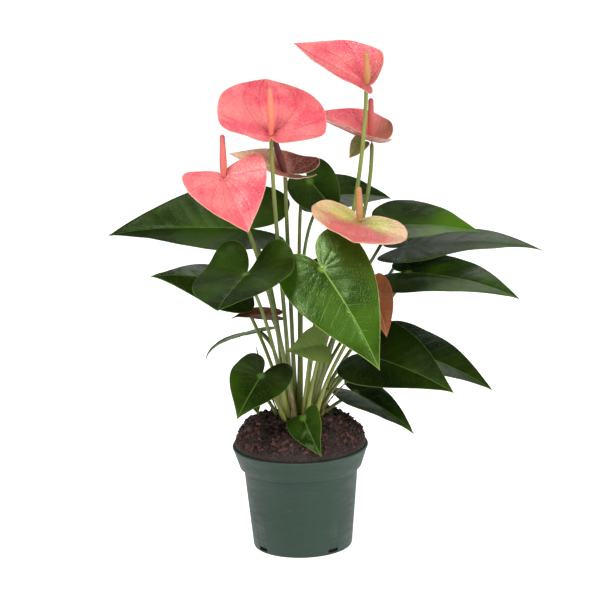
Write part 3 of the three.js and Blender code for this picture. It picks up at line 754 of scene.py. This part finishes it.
flowers = [
    {"name": "flower_top", "at": (71, -4, 349), "tip": (4, -2, 389), "face": (0.2, -0.5, 1), "base": (0, 1),
     "lean": 0.6, "rise": (0.03, -0.12, 1), "spadix": (0, -0.1, 1), "spadixLength": 31, "slot": "spathe_pink",
     "spadixSlot": "spadix_tan",
     "form": {"width": 0.98, "lobe": 0.11, "widest": 0.06, "fold": 16, "curl": 22},
     "look": {"zones": [("ahead", 0.15, -0.12, (0.45, 0.13, 0.10), 0.7)]}},
    {"name": "flower_left_high", "at": (-19, -24, 307), "tip": (-22, 30, 350), "face": (0.22, -0.7, 0.8),
     "base": (188, 1),
     "spadix": (0, -0.12, 1), "spadixLength": 46, "slot": "spathe_pink", "spadixSlot": "spadix_tan",
     "spadixLook": {"low": (0.66, 0.12, 0.09), "middle": (0.74, 0.17, 0.09), "high": (0.70, 0.14, 0.10),
                    "speck": (0.80, 0.27, 0.18)},
     "form": {"width": 1.52, "widest": 0.16, "spread": 0.45, "point": 0.95, "lobe": 0.36, "lobeBend": 55}},
    {"name": "flower_left_front", "at": (-64, -34, 271), "tip": (-42, -80, 228), "face": (0.05, -0.75, 0.8),
     "base": (240, 1), "rise": (-0.45, -0.2, 1), "spadix": (0, 0, 1), "spadixLength": 40,
     "slot": "spathe_pink",
     "spadixSlot": "spadix_red",
     "form": {"width": 1.22, "lobe": 0.16, "widest": -0.02, "spread": 0.76, "point": 0.4, "lobeBend": -10}},
    {"name": "flower_behind", "at": (-7, 8, 264), "tip": (-60, 8, 284), "face": (-0.2, -0.35, 0.9),
     "base": (120, 1),
     "spadix": (-0.28, -0.1, 1), "spadixLength": 40, "slot": "spathe_old", "spadixSlot": "spadix_maroon",
     "form": {"width": 0.8, "lobe": 0.62, "notch": 0.08, "fold": 26, "lobeBend": 44},
     "look": {"base": (0.86, 0.66, 0.42), "light": (0.92, 0.76, 0.54), "vein": (0.62, 0.30, 0.20),
              "rim": (0.80, 0.62, 0.42),
              "zones": [("ahead", 0.38, 0.12, (0.46, 0.17, 0.13), 0.9),
                        ("ahead", 0.08, -0.15, (0.07, 0.02, 0.018), 1.0)],
              "under": (0.92, 0.74, 0.52)}},
    {"name": "flower_right_open", "at": (61, -38, 226), "tip": (54, -108, 223), "face": (0.32, -0.06, 1),
     "base": (-42, 2),
     "lean": 0.45, "rise": (0, -0.2, 1), "spadix": (0, 0, 1), "spadixLength": 33, "slot": "spathe_green_pink",
     "spadixSlot": "spadix_tan",
     "form": {"width": 1.32, "lobe": 0.36, "widest": 0.1, "spread": 0.6, "point": 0.8, "fold": 2},
     "look": {"base": (0.42, 0.50, 0.05), "light": (0.66, 0.64, 0.16), "vein": (0.40, 0.22, 0.08),
              "rim": (0.80, 0.45, 0.27), "rimWidth": 2.2, "rimStrength": 0.9,
              "zones": [("out", 0.55, 0.95, (0.72, 0.42, 0.20), 0.7),
                        ("ahead", 0.05, 0.30, (0.76, 0.10, 0.14), 0.95),
                        ("left", 0.22, 0.6, (0.80, 0.50, 0.28), 0.8),
                        ("left", -0.22, -0.6, (0.78, 0.60, 0.28), 0.8),
                        ("out", 0.35, 0.05, (0.36, 0.10, 0.06), 0.7)],
              "under": (0.50, 0.40, 0.16)}},
    {"name": "flower_right_back", "at": (76, 44, 284.5), "tip": (16, 44, 314), "face": (0.1, -0.15, 1),
     "base": (60, 1), "lean": 0.5, "spadix": (0, -0.05, 1), "spadixLength": 42, "slot": "spathe_pink",
     "spadixSlot": "spadix_red",
     "form": {"width": 1.1, "lobe": 0.36, "fold": 26, "lobeBend": 50},
     "look": {"zones": [("ahead", 0.2, -0.2, (0.34, 0.20, 0.07), 0.7)]}},
]


# pot

potSize = {
    "lip": 65, "height": 100, "bandHeight": 21, "bandFlare": 6.5, "ledge": 3.8, "base": 47.5, "wall": 1.5,
    "floor": 2, "recess": 0.6, "foot": 4, "chamfer": 1.5, "segments": 160,
    "slots": 4, "slotWidth": 11, "slotHeight": 3.2, "slotSill": 2.6, "slotStart": -53,
    "slotEdge": 0.8, "slotReach": 6,
}


def potRadii():  # the bottom of the rim band, its radius, and the body's radius under the ledge
    bandRadius = potSize["lip"] - potSize["bandFlare"]
    return potSize["height"] - potSize["bandHeight"], bandRadius, bandRadius - potSize["ledge"]


def potProfile():  # radius and height from the underside up the outside, then down the inside
    bandBottom, bandRadius, body = potRadii()
    base, wall, floor = potSize["base"], potSize["wall"], potSize["floor"]
    lip, top = potSize["lip"], potSize["height"]
    foot, chamfer, recess = potSize["foot"], potSize["chamfer"], potSize["recess"]
    slope = (body - base) / bandBottom
    outside = [
        (0, recess), (base - foot - 0.5, recess), (base - foot, 0), (base - chamfer, 0), (base - 0.5, 0.35),
        (base, chamfer), (mixed(base, body, 0.5), bandBottom / 2), (body - 0.1, bandBottom - 1.2),
        (body + 0.35, bandBottom - 0.25), (body + 1, bandBottom), (bandRadius - 0.7, bandBottom),
        (bandRadius, bandBottom + 0.7), (mixed(bandRadius, lip, 0.5), bandBottom + potSize["bandHeight"] / 2),
        (lip - 0.75, top - 2.4), (lip - 0.1, top - 1.7), (lip, top - 1), (lip - 0.25, top - 0.3),
        (lip - 0.7, top),
    ]
    inside = [
        (lip - wall - 0.2, top - 0.1), (lip - wall - 0.6, top - 0.7), (bandRadius - wall, bandBottom + 2),
        (body - wall, bandBottom - 1), (base + slope * floor - wall, floor + 0.5), (base - wall - 1.2, floor),
        (0, floor),
    ]
    return outside + inside


potLook = {
    # scuff colours the real scuff marks and also the painted highlight along the lip's top
    "dark": (0.007, 0.026, 0.015), "light": (0.011, 0.036, 0.022), "scuff": (0.055, 0.105, 0.078),
    "dust": (0.05, 0.05, 0.035),
}


def potMaterial():
    material, tree, shader = newMaterial("pot_plastic")
    place = objectPlace(tree)
    height = splitUp(tree, place)[2]
    big = clouds(tree, scaled(tree, place, (14, 14, 5)), 1, 3)
    grain = clouds(tree, place, 2600, 2)
    scuff = clouds(tree, scaled(tree, place, (60, 60, 420)), 1, 5, 0.6)
    dust = clouds(tree, place, 240, 5)
    colour = blended(tree, ramp(tree, big, 0.3, 0.7), potLook["dark"], potLook["light"])
    colour = layered(
        tree, colour, (ramp(tree, scuff, 0.58, 0.78), 0.28, potLook["scuff"]),
        (ramp(tree, dust, 0.6, 0.8), 0.25, potLook["dust"]),
        # painted highlight: the top 2.5 mm of the lip is lightened with the scuff colour, where light falls
        # on the rim
        (ramp(tree, height, 0.0975, 0.1), 0.35, potLook["scuff"]),
    )
    wire(tree, shader, Base_Color=colour, Roughness=ramp(tree, scuff, 0.3, 0.75, 0.5, 0.66))
    shader.inputs["Specular IOR Level"].default_value = 0.4
    bumped(tree, shader, times(tree, plus(tree, grain, scuff), 0.5), 0.00012, 0.5)
    return material


def slotCutter():
    size = potSize
    block = Vector((size["slotReach"], size["slotWidth"], size["slotHeight"])) * mm
    middle = Vector((size["base"], 0, size["slotSill"] + size["slotHeight"] / 2)) * mm
    bm = bmesh.new()
    for i in range(size["slots"]):
        angle = math.radians(size["slotStart"]) + 2 * math.pi * i / size["slots"]
        box = bmesh.ops.create_cube(bm, size=1)["verts"]
        bmesh.ops.scale(bm, verts=box, vec=block)
        bmesh.ops.translate(bm, verts=box, vec=middle)
        bmesh.ops.rotate(bm, verts=box, cent=(0, 0, 0), matrix=Matrix.Rotation(angle, 3, "Z"))
    bmesh.ops.bevel(
        bm, geom=bm.edges[:], offset=size["slotEdge"] * mm, segments=3, profile=0.5, affect="EDGES",
        material=-1,
    )
    return added(bm, "slotCutter", "slotCutter")


def makePot():
    bm = bmesh.new()
    verts = [bm.verts.new((r * mm, 0, z * mm)) for r, z in potProfile()]
    edges = [bm.edges.new(pair) for pair in zip(verts, verts[1:])]
    bmesh.ops.spin(
        bm, geom=verts + edges, cent=(0, 0, 0), axis=(0, 0, 1), angle=2 * math.pi,
        steps=potSize["segments"], use_merge=True, use_duplicate=False,
    )
    pot = finishMesh(bm, "pot", potMaterial(), "pot_plastic", "pot")
    cutter = slotCutter()
    cut = pot.modifiers.new("slots", "BOOLEAN")
    cut.operation, cut.solver, cut.object = "DIFFERENCE", "EXACT", cutter
    bpy.context.view_layer.update()
    finished = bpy.data.meshes.new_from_object(pot.evaluated_get(bpy.context.evaluated_depsgraph_get()))
    pot.modifiers.clear()
    pot.data = finished
    bpy.data.objects.remove(cutter)


# potting mix: a peaty mound with bark chips pressed into it

mixSize = {
    "mound": 28, "power": 5, "uneven": 1.6, "lumps": 3, "swirl": 9, "around": 180, "rings": 60,
    "clear": 1.9, "rimShare": 0.93, "shoulder": 4, "rough": 1.7, "gritty": 0.6, "tint": 0.25,
}
mixColours = [
    (0.0, (0.004, 0.002, 0.002)), (0.3, (0.018, 0.007, 0.005)), (0.55, (0.055, 0.016, 0.010)),
    (0.75, (0.12, 0.036, 0.018)), (0.9, (0.08, 0.03, 0.04)), (1.0, (0.26, 0.12, 0.06)),
]


def mixTop(radius, angle):
    rim = potSize["height"] - 1.5
    top = potSize["height"] + mixSize["mound"] * (1 - min(radius / potSize["lip"], 1) ** mixSize["power"])
    lumps = math.sin(mixSize["lumps"] * angle + radius / mixSize["swirl"]) * smooth(radius, 20, 28)
    return max(top + mixSize["uneven"] * lumps, rim)


def mixMaterial():
    material, tree, shader = newMaterial("potting_mix")
    place = objectPlace(tree)
    tint = put(tree, "Attribute", attribute_name="tint").outputs["Fac"]
    coarse = clouds(tree, place, 130, 4)
    fine = clouds(tree, place, 700, 4)
    value = plus(tree, times(tree, tint, 0.75), times(tree, minus(tree, coarse, 0.35), 0.5))
    band = put(tree, "ValToRGB", {"Fac": value})
    stops = band.color_ramp.elements
    while len(stops) < len(mixColours):
        stops.new(0.5)
    for stop, (where, colour) in zip(stops, mixColours):
        stop.position, stop.color = where, (*colour, 1)
    colour = layered(tree, band.outputs[0], (ramp(tree, fine, 0.45, 0.7), 0.6, (0.012, 0.006, 0.004)))
    wire(tree, shader, Base_Color=colour, Roughness=ramp(tree, fine, 0.3, 0.7, 0.6, 0.95))
    bumped(tree, shader, fine, 0.0012, 0.8)
    return material


def makeMix(material):
    size = mixSize
    bandBottom, bandRadius, body = potRadii()
    rimRadius = bandRadius - size["clear"] + potSize["bandFlare"] * size["rimShare"]
    walls = [
        (rimRadius, potSize["height"] - 1.5), (bandRadius - size["clear"], bandBottom + 3),
        (body - size["clear"], bandBottom - 1), (potSize["base"] - 1.8, 2.6), (0, 2.6),
    ]
    bm = bmesh.new()
    rows = size["rings"] + len(walls)
    bmesh.ops.create_grid(bm, x_segments=size["around"], y_segments=rows, size=0.5)
    tint = bm.verts.layers.float.new("tint")
    for vert in bm.verts:
        angle = 2 * math.pi * (round((vert.co.x + 0.5) * size["around"]) % size["around"]) / size["around"]
        row = round((vert.co.y + 0.5) * rows)
        if row <= size["rings"]:
            radius = rimRadius * row / size["rings"]
            height = mixTop(radius, angle)
            where = onCircle(radius, angle, height)
            rough = size["rough"] * noise.fractal(where * 0.22, 1.0, 2.0, 4)
            rough += size["gritty"] * noise.noise(where * 0.9)
            height += rough * (1 - smooth(radius, rimRadius - size["shoulder"], rimRadius)) - 1.0
        else:
            radius, height = walls[row - size["rings"] - 1]
        vert.co = onCircle(radius, angle, height) * mm
        vert[tint] = size["tint"]
    finishMesh(bm, "potting_mix", material, "potting_mix", "potting_mix")


chipSize = {
    "count": 2300, "shortest": 1.3, "longest": 6.0, "fromLip": 2.5, "wide": (0.35, 0.8), "thick": (0.3, 0.75),
    "thinnest": 0.5, "sunk": 0.4, "lift": (-0.6, 0.9), "jitter": 0.22, "tilt": 0.45, "shoulderTilt": 0.9,
}


def makeChips(material):
    size = chipSize
    bm = bmesh.new()
    tint = bm.verts.layers.float.new("tint")
    reach = potSize["lip"] - size["fromLip"]
    for index in range(size["count"]):
        radius = reach * math.sqrt(random.random())
        angle = random.uniform(0, 2 * math.pi)
        long = mixed(size["shortest"], size["longest"], random.random() ** 2.6)
        wide = long * random.uniform(*size["wide"])
        thick = max(wide * random.uniform(*size["thick"]), size["thinnest"])
        radius = min(radius, reach - long / 2)
        height = mixTop(radius, angle) - size["sunk"] + random.uniform(*size["lift"])
        chip = bmesh.ops.create_cube(bm, size=1)["verts"]
        shade = random.random()
        for vert in chip:
            vert[tint] = shade
            vert.co += Vector([random.uniform(-size["jitter"], size["jitter"]) for axis in range(3)])
        turn = Matrix.Rotation(random.uniform(0, 2 * math.pi), 3, "Z")
        tilt = Matrix.Rotation(random.gauss(0, size["tilt"]), 3, "X")
        tilt = tilt @ Matrix.Rotation(random.gauss(0, size["tilt"]), 3, "Y")
        steep = smooth(radius, 38, 62) * size["shoulderTilt"]
        slope = Matrix.Rotation(steep, 3, onCircle(1, angle + math.pi / 2))
        bmesh.ops.scale(bm, verts=chip, vec=Vector((long, wide, thick)) * mm)
        bmesh.ops.rotate(bm, verts=chip, cent=(0, 0, 0), matrix=slope @ tilt @ turn)
        bmesh.ops.translate(bm, verts=chip, vec=onCircle(radius, angle, height) * mm)
    bmesh.ops.recalc_face_normals(bm, faces=bm.faces)
    dressed(bm, "bark_chips", material, "potting_mix", flat=True)


# small things on the mix and round the crown: roots, dry sheaths, thin twigs

def plainMaterial(name, dark, light, scale, rough, stretch=(1, 1, 1)):
    material, tree, shader = newMaterial(name)
    place = scaled(tree, objectPlace(tree), tuple(scale * part for part in stretch))
    broad = clouds(tree, place, 1, 4)
    fine = clouds(tree, place, 6, 3)
    colour = blended(tree, ramp(tree, broad, 0.35, 0.65), dark, light)
    colour = layered(tree, colour, (ramp(tree, fine, 0.5, 0.8), 0.4, tuple(part * 0.4 for part in dark)))
    wire(tree, shader, Base_Color=colour, Roughness=ramp(tree, fine, 0.3, 0.7, rough, rough + 0.2))
    bumped(tree, shader, fine, 0.0003, 0.6)
    return material


bits = [
    {"name": "root_left", "line": [(-58, -10, 104), (-54, -20, 109), (-47, -26, 113), (-42, -29, 115)],
     "radius": 0.9, "finish": "root", "slot": "potting_mix"},
    {"name": "root_front", "line": [(2, -57, 111), (7, -56, 112.5), (12, -57, 112), (17, -58, 110)],
     "radius": 0.8, "finish": "root", "slot": "potting_mix"},
    {"name": "twig_back_left", "line": [(-18, 8, 124), (-30, 10, 150), (-36, 12, 176), (-40, 12, 196)],
     "radius": 0.75, "finish": "dry", "slot": "petiole"},
    {"name": "twig_right", "line": [(16, -8, 124), (30, -12, 150), (44, -20, 168), (62, -30, 178)],
     "radius": 0.7, "finish": "dry", "slot": "petiole"},
]
bitGrid = {"around": 10, "along": 30, "seed": 0.5}
bitLooks = {
    "root": {"dark": (0.45, 0.38, 0.28), "light": (0.72, 0.66, 0.54), "scale": 200, "rough": 0.55},
    "dry": {"dark": (0.10, 0.055, 0.03), "light": (0.24, 0.15, 0.07), "scale": 200, "rough": 0.6},
    "sheath": {"dark": (0.17, 0.11, 0.05), "light": (0.38, 0.29, 0.14), "scale": 90, "rough": 0.5,
               "stretch": (6, 6, 1)},
}
sheathSize = {"across": 8, "up": 24, "thick": 0.35, "bow": 2.2}
sheaths = [
    {"at": (-6, -17, 124), "turn": 262, "height": 34, "width": 7, "lean": 4},
    {"at": (9, -15, 124), "turn": 300, "height": 26, "width": 6, "lean": 7},
    {"at": (19, -4, 124), "turn": 350, "height": 30, "width": 6, "lean": 6},
    {"at": (-17, -10, 124), "turn": 212, "height": 40, "width": 6, "lean": 6},
    {"at": (-15, 9, 124), "turn": 150, "height": 30, "width": 7, "lean": 6},
    {"at": (10, 15, 124), "turn": 60, "height": 28, "width": 7, "lean": 5},
]


def makeBits(finishes):
    for bit in bits:
        def path(t, line=bit["line"]):
            return bezierPoint(*line, t)

        def radiusAt(t, run, whole, angle, radius=bit["radius"]):
            closing = min(1, t * 6, (1 - t) * 6)
            return radius * closing ** 0.5 * (1 + 0.25 * math.sin(run * 1.3))

        bm = tube(path, radiusAt, bitGrid["around"], bitGrid["along"], bitGrid["seed"])
        finishMesh(bm, bit["name"], finishes[bit["finish"]], bit["slot"])


def makeSheaths(material):  # the papery leaf sheaths left round the crown
    bm = bmesh.new()
    for sheath in sheaths:
        before = set(bm.verts)
        bmesh.ops.create_grid(bm, x_segments=sheathSize["across"], y_segments=sheathSize["up"], size=0.5)
        turn = Matrix.Rotation(math.radians(sheath["turn"]), 3, "Z")
        for vert in set(bm.verts) - before:
            across, up = vert.co.x * 2, vert.co.y + 0.5
            width = sheath["width"] * (1 - up) ** 0.7 * (0.7 + 0.3 * math.sin(9 * up))
            bend = sheathSize["bow"] * (1 - across ** 2) + sheath["lean"] * up ** 2
            local = Vector((bend, across * width / 2, up * sheath["height"]))
            vert.co = (Vector(sheath["at"]) + turn @ local) * mm
    bmesh.ops.remove_doubles(bm, verts=bm.verts, dist=0.05 * mm)
    bmesh.ops.recalc_face_normals(bm, faces=bm.faces)
    bmesh.ops.solidify(bm, geom=bm.faces[:], thickness=sheathSize["thick"] * mm)
    dressed(bm, "crown_sheaths", material, "petiole")


# build everything

random.seed(7)
print("stage: pot and mix")
makePot()
mixFinish = mixMaterial()
makeMix(mixFinish)
makeChips(mixFinish)
bitFinishes = {name: plainMaterial(name, **look) for name, look in bitLooks.items()}
makeBits(bitFinishes)
makeSheaths(bitFinishes["sheath"])

print("stage: leaves")
stemFinishes = {name: stemMaterial(name, look) for name, look in stemLooks.items()}
for leaf in leaves:
    name = leaf["name"]
    length = (Vector(leaf["tip"]) - Vector(leaf["at"])).length
    laterals = max(5, round(length / 14))
    finish = leafMaterial(name, {**leafLook, **leaf.get("look", {}), "length": length})
    axes = bladePiece(
        leaf, {**leafForm, **leaf["form"]}, lambda x, y: leafVeins(x, y, laterals), finish,
        leaf.get("slot", "leaf_green"), name + "_blade",
    )
    stemPiece(leaf, petioleSize, axes, stemFinishes["petiole"], "petiole", name + "_petiole")

print("stage: flowers")
for flower in flowers:
    name = flower["name"]
    length = (Vector(flower["tip"]) - Vector(flower["at"])).length
    finish = spatheMaterial(name, {**pinkSpathe, **flower.get("look", {})}, length)
    axes = bladePiece(
        flower, {**spatheForm, **flower["form"]}, lambda x, y: spatheVeins(x, y, 7), finish,
        flower["slot"], name + "_spathe", 1.3,
    )
    stemPiece(flower, stalkSize, axes, stemFinishes["flower_stalk"], "flower_stalk", name + "_stalk")
    spikeLook = {**spadixLooks[flower["spadixSlot"]], **flower.get("spadixLook", {})}
    spadixPiece(flower, spadixMaterial(name + "_spadix", spikeLook), name + "_spadix")

# the curled green flap under the right back flower
curl = {
    "at": (66, 40, 283), "tip": (54, 33, 271), "face": (-0.3, -0.9, 0.2), "veins": 5, "length": 17,
    "form": {"width": 1.2, "fold": 24, "curl": 30},
    "look": {"base": (0.10, 0.13, 0.03), "light": (0.20, 0.22, 0.05), "vein": (0.12, 0.05, 0.03), "zones": [],
             "under": (0.16, 0.17, 0.05)},
}
bladePiece(
    curl, {**spatheForm, **curl["form"]}, lambda x, y: spatheVeins(x, y, curl["veins"]),
    spatheMaterial("spathe_curl", {**pinkSpathe, **curl["look"]}, curl["length"]),
    "spathe_green_pink", "spathe_curl", stands=False,
)


# studio: white floor and sky, soft boxes, long lens

studio = {
    "camera": {"target": (3.6, 0, 242), "distance": 3000, "elevation": 14.7, "roll": 1.6, "lens": 190,
               "sensor": 36},
    "sky": 0.22, "aim": (0, 0, 250), "floor": 12000, "floorShade": 0.8, "floorGlow": 0.85,
    "boxes": [
        {"name": "key", "from": (-700, -1100, 1700), "size": (800, 800), "power": 30},
        {"name": "side", "from": (1500, -900, 1000), "size": (600, 1000), "power": 9},
        {"name": "window", "from": (1000, -1300, 1300), "size": (240, 420), "power": 9},
        {"name": "back", "from": (500, 1500, 1500), "size": (1200, 700), "power": 7},
    ],
}


def makeFloor():
    bm = bmesh.new()
    bmesh.ops.create_grid(bm, x_segments=2, y_segments=2, size=studio["floor"] / 2 * mm)
    floor = added(bm, "floor", "floor")
    material, tree, shader = newMaterial("floor")
    shader.inputs["Base Color"].default_value = (*[studio["floorShade"]] * 3, 1)
    shader.inputs["Roughness"].default_value = 0.9
    shader.inputs["Specular IOR Level"].default_value = 0.0
    shader.inputs["Emission Color"].default_value = (1, 1, 1, 1)
    shader.inputs["Emission Strength"].default_value = studio["floorGlow"]
    floor.data.materials.append(material)


def makeSky():  # dim as a light, white where the camera sees it
    world = bpy.data.worlds.new("studio")
    scene.world = world
    world.use_nodes = True
    tree = world.node_tree
    sky = tree.nodes["Background"]
    sky.inputs[0].default_value = (1, 1, 1, 1)
    sky.inputs[1].default_value = studio["sky"]
    seen = put(tree, "Background", {0: (1, 1, 1, 1), 1: 1.0})
    direct = put(tree, "LightPath").outputs["Is Camera Ray"]
    either = put(tree, "MixShader", {0: direct, 1: sky.outputs[0], 2: seen.outputs[0]})
    tree.links.new(either.outputs[0], tree.nodes["World Output"].inputs[0])


def makeLights():
    for box in studio["boxes"]:
        light = bpy.data.lights.new(box["name"], "AREA")
        light.shape = "RECTANGLE"
        light.size, light.size_y = box["size"][0] * mm, box["size"][1] * mm
        light.energy = box["power"]
        lamp = bpy.data.objects.new(box["name"], light)
        lamp.location = Vector(box["from"]) * mm
        aim = Vector(studio["aim"]) * mm - lamp.location
        lamp.rotation_euler = aim.to_track_quat("-Z", "Y").to_euler()
        scene.collection.objects.link(lamp)


def makeCamera():
    view = studio["camera"]
    rise, roll = math.radians(view["elevation"]), math.radians(view["roll"])
    back = Vector((0, -math.cos(rise), math.sin(rise)))
    level = Vector((1, 0, 0))
    upright = back.cross(level)
    right = level * math.cos(roll) - upright * math.sin(roll)
    up = level * math.sin(roll) + upright * math.cos(roll)
    turn = Matrix((right, up, back)).transposed().to_4x4()
    lens = bpy.data.cameras.new("camera")
    lens.lens, lens.sensor_width = view["lens"], view["sensor"]
    camera = bpy.data.objects.new("camera", lens)
    camera.matrix_world = Matrix.Translation((Vector(view["target"]) + back * view["distance"]) * mm) @ turn
    scene.collection.objects.link(camera)
    scene.camera = camera


print("stage: studio")
makeFloor()
makeSky()
makeLights()
makeCamera()
scene.view_settings.view_transform = "Standard"
